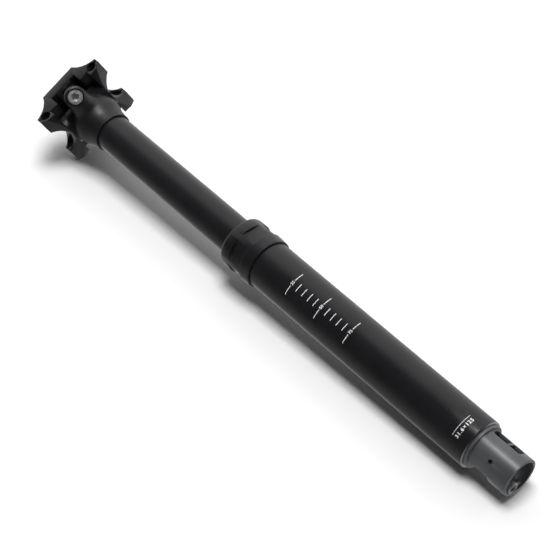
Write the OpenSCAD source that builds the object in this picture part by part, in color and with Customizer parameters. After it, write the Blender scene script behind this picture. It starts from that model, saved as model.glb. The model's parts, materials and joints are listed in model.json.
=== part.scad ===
// Dropper seatpost with an inclined two-bolt saddle clamp.
// Upright frame: Z runs up the post, the origin lies on its axis at the collar's underside.
// X runs across the saddle rails and -Y is the face with the size marks.

/* [Outer tube] */
// Outside diameter, the size of the frame's seat tube
tube_d = 31.6; // [30.9:0.1:34.9]
// Length from the collar's underside to the bottom rim
tube_len = 179.5; // [170:0.5:230]
// Wall of the tube
tube_wall = 1.7; // [1.5:0.05:1.9]
// Chamfer on the bottom rim
tube_chamfer = 0.6; // [0.2:0.1:1.2]
// Height of the turned neck that the collar screws on
neck_h = 17; // [14:0.5:19]
// Wall of the turned neck
neck_wall = 1; // [0.8:0.05:1.2]

/* [Stanchion] */
// Outside diameter of the sliding tube
stanchion_d = 25; // [24.6:0.1:25.4]
// Wall of the sliding tube
stanchion_wall = 1.7; // [1.4:0.05:1.9]
// Height adjustment of the saddle
travel = 125; // [90:5:130]
// Gap between the head and the collar when the post is fully down
seam_gap = 3.5; // [2.5:0.25:6]
// Gap between the stanchion's foot and the base plug when fully down
bottom_gap = 2; // [1:0.25:4]

/* [Collar] */
// Height of the collar
collar_h = 27; // [25:0.5:32]
// Step of the collar's lower edge past the tube
collar_step = 1.3; // [0.8:0.05:1.5]
// Widest radius of the collar past the tube
collar_bulge = 1.65; // [1.3:0.05:2.5]
// Height where the spanner flats start
flat_z = 8; // [6:0.5:10]
// Height of the spanner flats
flat_h = 10; // [8:0.5:12]
// Depth of the spanner flats at their middle
flat_depth = 1.45; // [0.8:0.05:1.6]

/* [Head] */
// Radius of the head's bulb
bulb_r = 16.6; // [15.8:0.1:17.2]
// Height of the bulb's centre above the seam
bulb_z = 17; // [16:0.25:18]
// Height of the saddle rails above the seam
rail_z = 29.3; // [28.8:0.1:30.2]
// Radius of the trough that the cradle rocks in
trough_r = 12.3; // [12:0.1:12.6]
// Depth of the head's spigot in the stanchion
spigot_h = 20; // [15:1:30]

/* [Bolts] */
// Angle of the bolts from the post's axis
bolt_lean = 50; // [48:0.5:52]
// Bolt diameter
bolt_d = 6; // [5:0.25:6.25]
// Bolt head diameter
bolt_head_d = 9.9; // [9:0.1:10.4]
// Bolt head height
bolt_head_h = 6; // [5:0.25:6.5]
// Distance of the bolt's middle line from the tilt axis
bolt_arm = 11.45; // [11.2:0.05:11.7]
// Distance from the barrel nut's middle to the bolt's outer face
bolt_reach = 23.4; // [23:0.1:24]
// Radius of the ear round each bolt
ear_r = 7; // [6.6:0.1:7.6]
// Length of the ear along its bolt
ear_len = 11.5; // [10:0.25:12]

/* [Saddle clamp] */
// Tilt of the clamp as it is set, from square to the post
clamp_tilt = -10; // [-13:0.5:4]
// Largest tilt of the clamp to either side of square
tilt_range = 14; // [12:0.5:14]
// Diameter of the saddle rails
rail_d = 7; // [6.6:0.1:7.2]
// Distance between the middles of the rails
rail_gauge = 44; // [43:0.25:45]
// Length of the clamp along the rails
clamp_len = 46; // [45:0.2:48]
// Width over the wing tips
clamp_w = 55.2; // [55:0.1:57.5]
// Height of the crown above the rails' middle
crown_z = 15.5; // [15:0.1:16.5]
// Length of the crown
crown_len = 43; // [40:0.5:45]
// Depth of the lower wings below the rails' middle
wing_drop = 8.2; // [7.6:0.1:9]
// Gap between the clamp halves
clamp_gap = 1; // [0.6:0.1:1.6]
// Diameter of the barrel nuts
nut_d = 9; // [8.6:0.1:9.4]

/* [Actuator] */
// Outside diameter of the sleeve
sleeve_d = 25; // [24.4:0.1:25.6]
// Wall of the sleeve
sleeve_wall = 1.7; // [1.4:0.05:1.9]
// Length of the sleeve below the tube
sleeve_len = 29.3; // [28:0.1:34]
// Thickness of the flange against the tube
flange_h = 2; // [1.5:0.1:2.5]
// Turn of the sleeve about the post, from the clamp's cross axis
actuator_turn = -21; // [-40:1:40]
// Width of the lever window
window_w = 8.8; // [8:0.2:10]
// Length of the lever window
window_len = 20.5; // [18:0.5:21]
// Distance of the pivot pin below the tube
pivot_drop = 14.5; // [14:0.25:15]
// Diameter of the pivot pin
pivot_d = 2.7; // [2.2:0.1:3]
// Bore of the cable stop, for the housing
housing_d = 5; // [4:0.1:5.2]

/* [Cartridge] */
// Bore of the gas spring cylinder
cart_bore = 16; // [15:0.25:16.5]
// Wall of the gas spring cylinder
cart_wall = 1.5; // [1.3:0.05:1.7]
// Diameter of the piston rod
rod_d = 8; // [7.5:0.25:8.5]
// Diameter of the release pin
pin_d = 2.5; // [2:0.1:2.7]
// Height of the base plug
plug_h = 10.5; // [9.5:0.5:12]
// Height of the main piston
piston_h = 12; // [10:0.5:14]
// Height of the floating piston
floater_h = 9; // [8:0.5:12]

/* [Fits] */
// Radial gap of parts that slide
slide_fit = 0.05; // [0.02:0.01:0.1]
// Gap between curved faces of parts that move
swing_gap = 0.3; // [0.25:0.05:0.5]

/* [Hidden] */
$fn = 96;

// Colours of the finishes
black = [0.09, 0.09, 0.1];
grey = [0.3, 0.31, 0.32];
steel = [0.75, 0.75, 0.76];
brass = [0.72, 0.58, 0.28];
rubber = [0.05, 0.05, 0.05];
alloy = [0.6, 0.61, 0.63];

// Small length that lets one cut pass another face
over = 1;

// Tube and collar
tube_r = tube_d / 2;
bore_r = tube_r - tube_wall;
neck_r = bore_r + neck_wall;
stanchion_r = stanchion_d / 2;
stanchion_bore_r = stanchion_r - stanchion_wall;
collar_low_r = tube_r + collar_step;
collar_wide_r = tube_r + collar_bulge;
collar_top_r = stanchion_r + 2.7;
collar_lip_h = 2;
shoulder_h = 2.7;
shoulder_out = 1.7;
flat_count = 6;
collar_seat_r = bore_r + 0.5;
lip_gap = 0.7;
bushing_below = 4;
foam_h = 3;
groove_depth = 0.85;
key_w = 3;
key_count = 3;
groove_top = -6;
key_clear = 6;

// Heights along the post
seam_z = collar_h + travel + seam_gap;
foot_z = -(tube_len - travel - plug_h - bottom_gap);
plug_top = -tube_len + plug_h;
tilt_z = seam_z + rail_z;
bulb_mid = seam_z + bulb_z;
skirt_step = 1;
skirt_r = stanchion_r + skirt_step;
foot_lip_h = 2;
lower_bushing_h = 14;
key_z = foot_z + foot_lip_h + lower_bushing_h + 2;
key_h = groove_top - key_clear - key_z;

// Cartridge
cart_r = cart_bore / 2;
cart_out_r = cart_r + cart_wall;
rod_r = rod_d / 2;
pin_r = pin_d / 2;
rod_bore_r = pin_r + swing_gap + slide_fit;
gland_flange_h = 4;
gland_h = 16;
bumper_h = 5;
cart_bottom = foot_z + gland_flange_h;
gland_top = foot_z + gland_h;
piston_bottom = gland_top + bumper_h + 1;
piston_top = piston_bottom + piston_h;
cart_rise = 4.5;
cart_top = seam_z + cart_rise;
head_bore_top = cart_top + 3;
cap_h = 10;
cap_drop = 4;
cap_top = cart_top - cap_drop;
ring_h = 1.2;
seal_h = 3;
seal_depth = 1.5;
rod_share = rod_r * rod_r / (cart_r * cart_r);
floater_gap = 8;
floater_z = piston_top + (1 - rod_share) * travel + floater_gap;
web_h = 5.5;
spigot_r = sleeve_d / 2 - sleeve_wall + 0.2;
rod_nut_h = 4;
rod_nut_r = 7.5;
rod_foot = plug_top - web_h - rod_nut_h - 0.5;

// Actuator
sleeve_r = sleeve_d / 2;
sleeve_bore_r = sleeve_r - sleeve_wall;
sleeve_end = -tube_len - sleeve_len;
flange_r = bore_r + 0.35;
pivot_r = pivot_d / 2;
pivot_z = -tube_len - pivot_drop;
pivot_half = sleeve_r - 1;
window_top = -tube_len - flange_h - 1;
rear_window_w = 17;
rear_window_len = 14;
window_corner = 2;
stop_wall = 1;
stop_r = housing_d / 2 + stop_wall;
stop_x = sleeve_bore_r - stop_r - 0.3;
stop_len = 8;
stop_proud = 0.5;
housing_depth = 6;
cable_r = 0.9;
bridge_h = 4;
bridge_x = 3.6;
lever_w = 6;
arm_top = 1;
arm_low = 0.6;
hub_r = pivot_r + 1.5;
cam_r = 4.2;
cam_x = 3;
lever_tip_x = sleeve_r - 0.7;
cable_seat_x = stop_x;
cable_seat_r = 1.1;
lever_tail_x = sleeve_bore_r - 0.9;
tip_r = 1;
pin_gap = 0.15;
cam_top = sqrt(cam_r * cam_r - (cam_x - tip_r) * (cam_x - tip_r));
pin_foot = pivot_z + cam_top + pin_gap;
pin_flange_z = pin_foot + 2;
pin_flange_h = 1;
pin_flange_r = 3.4;
poppet_r = 2.6;
poppet_h = 2;

// Return spring
spring_wire_r = 0.4;
spring_mid_r = 2.75;
spring_turns = 5;
spring_sides = 6;
spring_rings = 8;
spring_low = pin_flange_z + pin_flange_h + spring_wire_r + 0.05;
spring_high = rod_foot - spring_wire_r - 0.05;

// Clamp bolts, in the plane across the rails
bolt_r = bolt_d / 2;
bolt_head_r = bolt_head_d / 2;
thread_past = 1.5;
bolt_past_nut = bolt_arm * sin(tilt_range) + thread_past;
socket_af = 5;
socket_depth = 3.5;
washer_h = 1;
washer_r = bolt_head_r + 0.35;
counterbore_r = bolt_head_r + 0.7;
nut_r = nut_d / 2;
nut_half = 6;
nut_gap = swing_gap + 0.1;
boss_wall = 1.3;
boss_end = 0.6;
boss_r = nut_r + boss_wall;
boss_half = nut_half + boss_end;
ear_top_z = 2;
// Middle of the front barrel nut from the tilt axis when the clamp is square
nut_y = -bolt_arm * cos(bolt_lean);
nut_z = bolt_arm * sin(bolt_lean);

// Clamp wings, from the tilt axis
rail_r = rail_d / 2;
rail_x = rail_gauge / 2;
tip_x = clamp_w / 2;
half_len = clamp_len / 2;
cradle_r = trough_r - swing_gap;
core_past = 1.4;
wing_past = 1;
core_x = bulb_r + core_past;
wing_in_x = bulb_r + wing_past;
flank_r = 21;
flank_out = 5.9;
flank_up = 7.1;
flank_x = tip_x + flank_out;
flank_z = crown_z + flank_up;
bay_r = 11.5;
bay_out = 2.1;
bay_x = tip_x + bay_out;
wing_root_x = 13;
wing_root_y = crown_len / 2;
pocket_x = 10.8;
pocket_z = 8.6;
nose_half = 6.2;
nose_set = 0.5;
nose_front_z = 7.6;
nose_root_z = 4.9;
slot_gap = 0.6;
slot_half = bolt_r + slot_gap;
fan_past = 1;
bolt_notch_y = 7.5;
wing_round_r = 80;
tip_drop = 2.2;

// Round solid between two heights with an optional bore
module ring(outer, inner, low, high) {
  translate([0, 0, low]) difference() {
    cylinder(r = outer, h = high - low);
    if (inner > 0) translate([0, 0, -over]) cylinder(r = inner, h = high - low + 2 * over);
  }
}

// Lies along a clamp bolt: the local Z runs up the bolt from its outer face
module along_bolt(side) {
  rotate([0, 0, side > 0 ? 180 : 0])
    translate([0, nut_y, tilt_z + nut_z])
      rotate([-bolt_lean, 0, 0])
        translate([0, 0, -bolt_reach])
          children();
}

// Turns the clamp about the rails' cross axis to its setting
module as_set() {
  translate([0, 0, tilt_z]) rotate([clamp_tilt, 0, 0]) children();
}

// Turns the actuator about the post
module as_turned() {
  rotate([0, 0, actuator_turn]) children();
}

// Cylinder across the post, along X
module across(r, half) {
  rotate([0, 90, 0]) cylinder(r = r, h = 2 * half, center = true);
}

// Places a child on both sides of the post
module both_sides() {
  children();
  mirror([1, 0, 0]) children();
}

// Ring seal that fills the groove of a piston
module groove_seal(outer, low) {
  color(rubber) ring(outer - slide_fit / 2, outer - seal_depth, low, low + seal_h);
}

module outer_tube() {
  color(black) difference() {
    union() {
      ring(tube_r, 0, -tube_len + tube_chamfer, 0);
      translate([0, 0, -tube_len])
        cylinder(r1 = tube_r - tube_chamfer, r2 = tube_r, h = tube_chamfer);
      ring(neck_r, 0, -over, neck_h);
    }
    translate([0, 0, -tube_len - over]) cylinder(r = bore_r, h = tube_len + neck_h + 2 * over);
    for (i = [0 : key_count - 1])
      rotate([0, 0, 90 + i * 360 / key_count])
        translate([0, -key_w / 2 - swing_gap, -tube_len - over])
          cube([bore_r + groove_depth, key_w + 2 * swing_gap, tube_len + over + groove_top]);
  }
}

module seal_collar() {
  color(black) difference() {
    rotate_extrude() polygon([
      [neck_r + slide_fit, 0],
      [collar_low_r - 0.3, 0],
      [collar_low_r, 0.3],
      [collar_low_r, 1.6],
      [collar_wide_r, flat_z - 1],
      [collar_wide_r, collar_h - shoulder_h],
      [collar_top_r + shoulder_out, collar_h - shoulder_h / 2],
      [collar_top_r, collar_h],
      [stanchion_r + lip_gap, collar_h],
      [stanchion_r + lip_gap, collar_h - collar_lip_h],
      [collar_seat_r, collar_h - collar_lip_h],
      [collar_seat_r, neck_h],
      [neck_r + slide_fit, neck_h]
    ]);
    for (turn = [0 : 360 / flat_count : 359])
      rotate([0, 0, turn])
        translate([collar_wide_r - flat_depth, -collar_wide_r, flat_z])
          cube([collar_wide_r, 2 * collar_wide_r, flat_h]);
  }
}

module wiper_seal() {
  color(rubber) rotate_extrude() polygon([
    [stanchion_r + slide_fit, neck_h + foam_h + 0.2],
    [collar_seat_r - slide_fit, neck_h + foam_h + 0.2],
    [collar_seat_r - slide_fit, collar_h - collar_lip_h - slide_fit],
    [stanchion_r + lip_gap - slide_fit, collar_h - collar_lip_h - slide_fit],
    [stanchion_r + lip_gap - slide_fit, collar_h + 0.4],
    [stanchion_r + slide_fit, collar_h + 1]
  ]);
}

module foam_ring() {
  color([0.2, 0.2, 0.22]) ring(collar_seat_r - slide_fit, stanchion_r + slide_fit, neck_h, neck_h + foam_h);
}

module upper_bushing() {
  color([0.15, 0.25, 0.2]) ring(bore_r - slide_fit, stanchion_r + slide_fit, -bushing_below, neck_h);
}

module base_plug() {
  color(alloy) difference() {
    ring(bore_r - slide_fit, rod_r + slide_fit, -tube_len, plug_top);
    ring(spigot_r + slide_fit, 0, -tube_len - over, plug_top - web_h);
  }
}

// Cutter of a window with round corners, hanging from its top edge
module sleeve_window(width, length) {
  inner_w = width - 2 * window_corner;
  inner_len = length - 2 * window_corner;
  rotate([90, 0, 90]) linear_extrude(2 * sleeve_r) translate([0, -length / 2]) {
    square([width, inner_len], center = true);
    square([inner_w, length], center = true);
    for (side = [-1, 1])
      for (end = [-1, 1])
        translate([side * inner_w / 2, end * inner_len / 2]) circle(r = window_corner);
  }
}

module actuator_sleeve() {
  color(grey) as_turned() difference() {
    union() {
      ring(sleeve_r, sleeve_bore_r, sleeve_end, -tube_len);
      ring(flange_r, sleeve_bore_r, -tube_len - flange_h, -tube_len);
      ring(spigot_r, sleeve_bore_r - 1.2, -tube_len - flange_h, plug_top - web_h - 0.4);
      intersection() {
        ring(sleeve_bore_r + sleeve_wall / 2, 0, sleeve_end + 1, sleeve_end + 1 + bridge_h);
        translate([-2 * sleeve_r - bridge_x, -sleeve_r, sleeve_end])
          cube([2 * sleeve_r, 2 * sleeve_r, 2 * bridge_h]);
      }
    }
    translate([0, 0, window_top]) sleeve_window(window_w, window_len);
    translate([-2 * sleeve_r, 0, window_top]) sleeve_window(rear_window_w, rear_window_len);
    translate([0, 0, pivot_z])
      rotate([90, 0, 0]) cylinder(r = pivot_r + slide_fit, h = 3 * sleeve_r, center = true);
    translate([-stop_x, 0, sleeve_end - over]) cylinder(r = stop_r + slide_fit, h = bridge_h + 3 * over);
  }
}

module cable_stop() {
  stop_low = sleeve_end - stop_proud;
  color(grey) as_turned() translate([-stop_x, 0, stop_low]) difference() {
    cylinder(r = stop_r, h = stop_len);
    translate([0, 0, -over]) cylinder(r = housing_d / 2, h = housing_depth + over);
    cylinder(r = cable_r, h = stop_len + over);
  }
}

module lever_pivot_pin() {
  color(steel) as_turned() translate([0, 0, pivot_z])
    rotate([90, 0, 0]) cylinder(r = pivot_r, h = 2 * pivot_half, center = true);
}

module piston_rod() {
  color(steel) ring(rod_r, rod_bore_r, rod_foot, piston_bottom);
}

module rod_nut() {
  color(steel) difference() {
    translate([0, 0, rod_foot + 0.5]) cylinder(r = rod_nut_r, h = rod_nut_h, $fn = 6);
    ring(rod_r + slide_fit, 0, rod_foot, plug_top);
  }
}

module main_piston() {
  color(alloy) difference() {
    ring(cart_r - slide_fit, rod_bore_r, piston_bottom, piston_top);
    ring(cart_r + over, cart_r - seal_depth - slide_fit, piston_top - 4 - seal_h, piston_top - 4);
  }
}

module piston_seal() {
  groove_seal(cart_r - slide_fit / 2, piston_top - 4 - seal_h);
}

// Points of one ring of the spring's wire
function wire_ring(turn, height) = [
  for (side = [0 : spring_sides - 1])
    let (roll = side * 360 / spring_sides, reach = spring_mid_r + spring_wire_r * cos(roll))
      [reach * cos(turn), reach * sin(turn), height + spring_wire_r * sin(roll)]
];

module return_spring() {
  steps = spring_turns * spring_rings;
  points = [
    for (i = [0 : steps])
      each wire_ring(i * 360 / spring_rings, spring_low + (spring_high - spring_low) * i / steps)
  ];
  last = steps * spring_sides;
  sides = [
    for (i = [0 : steps - 1], k = [0 : spring_sides - 1])
      let (a = i * spring_sides + k, b = i * spring_sides + (k + 1) % spring_sides)
        each [[a, a + spring_sides, b], [b, a + spring_sides, b + spring_sides]]
  ];
  caps = [
    for (k = [1 : spring_sides - 2])
      each [[0, k, k + 1], [last, last + k + 1, last + k]]
  ];
  echo("least gap between the spring's turns",
    (spring_high - spring_low) / spring_turns - 2 * spring_wire_r);
  color(steel) polyhedron(points = points, faces = concat(sides, caps));
}

module stanchion_tube() {
  color(black) difference() {
    union() {
      ring(stanchion_r, 0, foot_z, seam_z);
      ring(bore_r - swing_gap, 0, foot_z, foot_z + foot_lip_h);
    }
    ring(stanchion_bore_r, 0, foot_z - over, seam_z + over);
    for (i = [0 : key_count - 1])
      rotate([0, 0, 90 + i * 360 / key_count])
        translate([0, -key_w / 2 - slide_fit, key_z - slide_fit])
          cube([tube_r, key_w + 2 * slide_fit, key_h + 2 * slide_fit]);
  }
}

module head() {
  color(black) difference() {
    union() {
      intersection() {
        hull() {
          translate([0, 0, bulb_mid]) sphere(r = bulb_r, $fn = 48);
          translate([0, 0, seam_z]) cylinder(r = skirt_r, h = 2, $fn = 48);
          for (side = [-1, 1])
            along_bolt(side) translate([0, 0, 1]) cylinder(r = ear_r, h = ear_len, $fn = 48);
        }
        translate([-2 * bulb_r, -3 * bulb_r, seam_z])
          cube([4 * bulb_r, 6 * bulb_r, rail_z + ear_top_z]);
      }
      ring(stanchion_bore_r - slide_fit, 0, seam_z - spigot_h, seam_z + over);
    }
    translate([0, 0, tilt_z]) across(trough_r, 2 * bulb_r);
    translate([-2 * bulb_r, -trough_r, tilt_z]) cube([4 * bulb_r, 2 * trough_r, trough_r]);
    ring(cart_out_r + slide_fit, 0, seam_z - spigot_h - over, head_bore_top);
    for (side = [-1, 1])
      along_bolt(side) {
        translate([0, 0, -bolt_reach]) cylinder(r = counterbore_r, h = bolt_reach + bolt_head_h + washer_h);
        cylinder(r = bolt_r + swing_gap, h = bolt_reach);
      }
  }
}

module cartridge_tube() {
  color(alloy) difference() {
    ring(cart_out_r, cart_r, cart_bottom, cart_top);
    ring(cart_r + 0.6, 0, cap_top, cap_top + ring_h);
  }
}

module cartridge_gland() {
  color(alloy) difference() {
    union() {
      ring(stanchion_bore_r - slide_fit, 0, foot_z, cart_bottom);
      ring(cart_r - slide_fit, 0, foot_z, gland_top);
    }
    ring(rod_r + slide_fit, 0, foot_z - over, gland_top + over);
    ring(rod_r + seal_depth + slide_fit, 0, gland_top - 4 - seal_h, gland_top - 4);
  }
}

module rod_seal() {
  color(rubber) ring(rod_r + seal_depth, rod_r + slide_fit / 2, gland_top - 4 - seal_h, gland_top - 4);
}

module lower_bushing() {
  low = foot_z + foot_lip_h;
  color([0.15, 0.25, 0.2]) ring(bore_r - slide_fit, stanchion_r + slide_fit, low, low + lower_bushing_h);
}

module anti_rotation_keys() {
  reach = bore_r + groove_depth - swing_gap - stanchion_bore_r - slide_fit;
  color(brass) for (i = [0 : key_count - 1])
    rotate([0, 0, 90 + i * 360 / key_count])
      translate([stanchion_bore_r + slide_fit, -key_w / 2, key_z])
        cube([reach, key_w, key_h]);
}

module top_out_bumper() {
  color(rubber) ring(cart_r - swing_gap, rod_r + swing_gap, gland_top, gland_top + bumper_h);
}

module cartridge_plug() {
  color(alloy) difference() {
    ring(cart_r - slide_fit, 0, cap_top - cap_h, cap_top);
    ring(cart_r + over, cart_r - seal_depth - slide_fit, cap_top - 3 - seal_h, cap_top - 3);
    ring(2, 0, cap_top - 4, cap_top + over);
  }
}

module plug_seal() {
  groove_seal(cart_r - slide_fit / 2, cap_top - 3 - seal_h);
}

module retaining_ring() {
  color(steel) difference() {
    ring(cart_r + 0.6 - slide_fit, cart_r - 1.4, cap_top, cap_top + ring_h - slide_fit);
    translate([0, -1.5, cap_top - over]) cube([cart_out_r, 3, ring_h + 2 * over]);
  }
}

module clamp_bolts() {
  color(steel) for (side = [-1, 1])
    along_bolt(side) difference() {
      union() {
        cylinder(r = bolt_head_r, h = bolt_head_h);
        cylinder(r = bolt_r, h = bolt_reach + bolt_past_nut);
      }
      translate([0, 0, -over]) cylinder(d = socket_af / cos(30), h = socket_depth + over, $fn = 6);
    }
}

module bolt_washers() {
  color(steel) for (side = [-1, 1])
    along_bolt(side) ring(washer_r, bolt_r + slide_fit, bolt_head_h, bolt_head_h + washer_h);
}

module floating_piston() {
  color(alloy) difference() {
    ring(cart_r - slide_fit, 0, floater_z, floater_z + floater_h);
    ring(cart_r + over, cart_r - seal_depth - slide_fit, floater_z + 3, floater_z + 3 + seal_h);
    ring(cart_r - 3, 0, floater_z + floater_h - 2, floater_z + floater_h + over);
  }
}

module floating_piston_seal() {
  groove_seal(cart_r - slide_fit / 2, floater_z + 3);
}

// Plan of the two wings on one side of the clamp, from an inner edge outwards
module wing_plan(inner_x, inner_y) {
  difference() {
    polygon([
      [inner_x, -inner_y],
      [tip_x, -half_len],
      [tip_x, half_len],
      [inner_x, inner_y]
    ]);
    translate([bay_x, 0]) circle(r = bay_r);
  }
}

// Grooves that hold the saddle rails
module rail_cuts() {
  both_sides() translate([rail_x, 0, 0])
    rotate([90, 0, 0]) cylinder(r = rail_r, h = 2 * clamp_len, center = true);
}

module lower_cradle() {
  top = -clamp_gap / 2;
  color(black) as_set() difference() {
    union() {
      intersection() {
        across(cradle_r, core_x);
        translate([-tip_x, -cradle_r, top - cradle_r - over]) cube([2 * tip_x, 2 * cradle_r, cradle_r + over]);
      }
      both_sides() intersection() {
        translate([0, 0, top - wing_drop]) linear_extrude(wing_drop) wing_plan(wing_in_x, half_len - 1);
        rotate([90, 0, 0]) translate([0, 0, -half_len]) linear_extrude(clamp_len) polygon([
          [wing_in_x, top],
          [tip_x, top],
          [tip_x, top - tip_drop],
          [wing_in_x, -wing_drop]
        ]);
        translate([0, 0, wing_round_r - wing_drop]) across(wing_round_r, tip_x + over);
      }
    }
    rail_cuts();
    for (side = [-1, 1])
      translate([-slot_half - over, side > 0 ? bolt_notch_y : -bolt_notch_y - cradle_r, top - cradle_r - over])
        cube([2 * slot_half + 2 * over, cradle_r, cradle_r + 2 * over]);
  }
}

// Direction of a bolt that leans so far from the clamp's height, and the direction square to it
function bolt_way(lean) = [sin(lean), cos(lean)];
function bolt_side(lean) = [-cos(lean), sin(lean)];

// Fan of room that a bolt needs as the clamp tilts, from the middle of its nut
module bolt_fan() {
  steep = bolt_lean - tilt_range;
  flat = bolt_lean + tilt_range;
  steep_end = bolt_past_nut - bolt_arm * sin(tilt_range) + fan_past;
  flat_end = bolt_past_nut + bolt_arm * sin(tilt_range) + fan_past;
  polygon([
    -bolt_reach * bolt_way(flat) + slot_half * bolt_side(flat),
    steep_end * bolt_way(steep) + slot_half * bolt_side(steep),
    flat_end * bolt_way(flat) + slot_half * bolt_side(flat),
    flat_end * bolt_way(flat) - slot_half * bolt_side(flat),
    -bolt_reach * bolt_way(steep) - slot_half * bolt_side(steep)
  ]);
}

// Nose under the front of the crown, down to the barrel nut's boss
module clamp_nose() {
  front_y = -crown_len / 2 + nose_set;
  rotate([90, 0, 90]) linear_extrude(2 * nose_half, center = true) polygon([
    [front_y, pocket_z + over],
    [front_y, nose_front_z],
    [nut_y, nose_root_z],
    [nut_y, pocket_z + over]
  ]);
}

module upper_clamp() {
  low = clamp_gap / 2;
  color(black) as_set() difference() {
    union() {
      difference() {
        union() {
          both_sides() translate([0, 0, low]) linear_extrude(crown_z - low) wing_plan(wing_root_x, wing_root_y);
          translate([-wing_root_x - over, -crown_len / 2, low])
            cube([2 * wing_root_x + 2 * over, crown_len, crown_z - low]);
        }
        both_sides() translate([flank_x, 0, flank_z])
          rotate([90, 0, 0]) cylinder(r = flank_r, h = 2 * clamp_len, center = true);
        translate([-pocket_x, -clamp_len, low - over]) cube([2 * pocket_x, 2 * clamp_len, pocket_z + over - low]);
      }
      for (side = [-1, 1]) {
        translate([0, -side * nut_y, nut_z]) across(boss_r, boss_half);
        rotate([0, 0, side > 0 ? 180 : 0]) clamp_nose();
      }
    }
    rail_cuts();
    for (side = [-1, 1])
      translate([0, -side * nut_y, nut_z]) {
        across(nut_r + slide_fit, pocket_x);
        rotate([0, 0, side > 0 ? 180 : 0]) rotate([90, 0, 90])
          linear_extrude(2 * slot_half, center = true) bolt_fan();
      }
  }
}

// Barrel nut across one clamp bolt
module barrel_nut(side) {
  color(steel) difference() {
    as_set() translate([0, -side * nut_y, nut_z]) across(nut_r, nut_half);
    along_bolt(side) cylinder(r = bolt_r + nut_gap, h = 2 * bolt_reach);
  }
}

module front_barrel_nut() {
  barrel_nut(-1);
}

module rear_barrel_nut() {
  barrel_nut(1);
}

module release_lever() {
  color(steel) as_turned() translate([0, 0, pivot_z]) difference() {
    union() {
      rotate([90, 0, 0]) cylinder(r = hub_r, h = lever_w, center = true);
      translate([cam_x, 0, 0]) rotate([90, 0, 0]) cylinder(r = cam_r, h = lever_w, center = true);
      translate([0, -window_w / 2 + swing_gap, -arm_low])
        cube([lever_tip_x, window_w - 2 * swing_gap, arm_top + arm_low]);
      translate([-lever_tail_x, -lever_w / 2, -arm_low - over])
        cube([lever_tail_x, lever_w, arm_top + arm_low + over]);
    }
    rotate([90, 0, 0]) cylinder(r = pivot_r + slide_fit, h = 2 * lever_w, center = true);
    translate([-cable_seat_x, 0, arm_top])
      rotate([90, 0, 0]) cylinder(r = cable_seat_r, h = 2 * lever_w, center = true);
  }
}

module release_pin() {
  color(steel) {
    ring(tip_r, 0, pin_foot, pin_flange_z);
    ring(pin_flange_r, 0, pin_flange_z, pin_flange_z + pin_flange_h);
    ring(pin_r, 0, pin_flange_z + pin_flange_h, piston_top);
  }
}

module valve_poppet() {
  color(brass) translate([0, 0, piston_top])
    cylinder(r1 = poppet_r, r2 = poppet_r - 0.6, h = poppet_h);
}

outer_tube();
seal_collar();
wiper_seal();
foam_ring();
upper_bushing();
base_plug();
actuator_sleeve();
cable_stop();
lever_pivot_pin();
piston_rod();
rod_nut();
main_piston();
piston_seal();
return_spring();
stanchion_tube();
head();
cartridge_tube();
cartridge_gland();
rod_seal();
lower_bushing();
anti_rotation_keys();
top_out_bumper();
cartridge_plug();
plug_seal();
retaining_ring();
clamp_bolts();
bolt_washers();
floating_piston();
floating_piston_seal();
lower_cradle();
upper_clamp();
front_barrel_nut();
rear_barrel_nut();
release_lever();
release_pin();
valve_poppet();
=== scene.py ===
"""Looks of a height-adjustable seatpost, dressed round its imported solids."""
import json
import logging
import math
from dataclasses import dataclass
from enum import Enum
from typing import ClassVar, Sequence

import bmesh
import bpy
from mathutils import Matrix, Vector


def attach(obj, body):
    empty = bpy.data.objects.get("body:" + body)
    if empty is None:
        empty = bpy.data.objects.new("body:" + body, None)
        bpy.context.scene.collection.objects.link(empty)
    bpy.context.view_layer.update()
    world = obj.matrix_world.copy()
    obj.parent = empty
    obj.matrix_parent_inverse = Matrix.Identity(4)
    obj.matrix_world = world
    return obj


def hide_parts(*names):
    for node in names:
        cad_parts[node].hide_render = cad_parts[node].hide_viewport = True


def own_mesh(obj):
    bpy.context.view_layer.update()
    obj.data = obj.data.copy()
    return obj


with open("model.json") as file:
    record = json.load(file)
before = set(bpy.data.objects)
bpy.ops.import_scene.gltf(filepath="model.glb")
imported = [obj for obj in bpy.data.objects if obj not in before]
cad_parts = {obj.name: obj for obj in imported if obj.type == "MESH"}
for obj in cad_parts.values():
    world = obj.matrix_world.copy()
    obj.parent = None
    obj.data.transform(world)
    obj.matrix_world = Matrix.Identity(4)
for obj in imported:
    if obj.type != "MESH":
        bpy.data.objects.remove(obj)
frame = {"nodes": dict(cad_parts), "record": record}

LOG = logging.getLogger("seatpost")
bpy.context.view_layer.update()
MM = 0.001
WHITE = (1.0, 1.0, 1.0, 1.0)
ROUND_STEPS = 96
WELD_M = 2e-6
FLAT_DEG = 0.6
SOFT_DEG = 40.0

Piece = bpy.types.Object
Shape = bmesh.types.BMesh
Socket = bpy.types.NodeSocket
Span = tuple[float, float]
Point = tuple[float, float, float]
Profile = Sequence[tuple[float, float]]


class Body(Enum):
    """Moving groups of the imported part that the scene's own pieces ride on."""

    OUTER = "outer"
    STANCHION = "stanchion"
    CLAMP = "clamp"
    LEVER = "lever"


class Slot(Enum):
    """Material slots of the record."""

    BLACK = "anodised_black"
    GREY = "anodised_grey"
    STEEL = "bare_steel"
    ALLOY = "bare_alloy"
    BRASS = "brass"
    RUBBER = "black_rubber"
    BUSHING = "bushing_plastic"
    FOAM = "oiled_foam"


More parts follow.
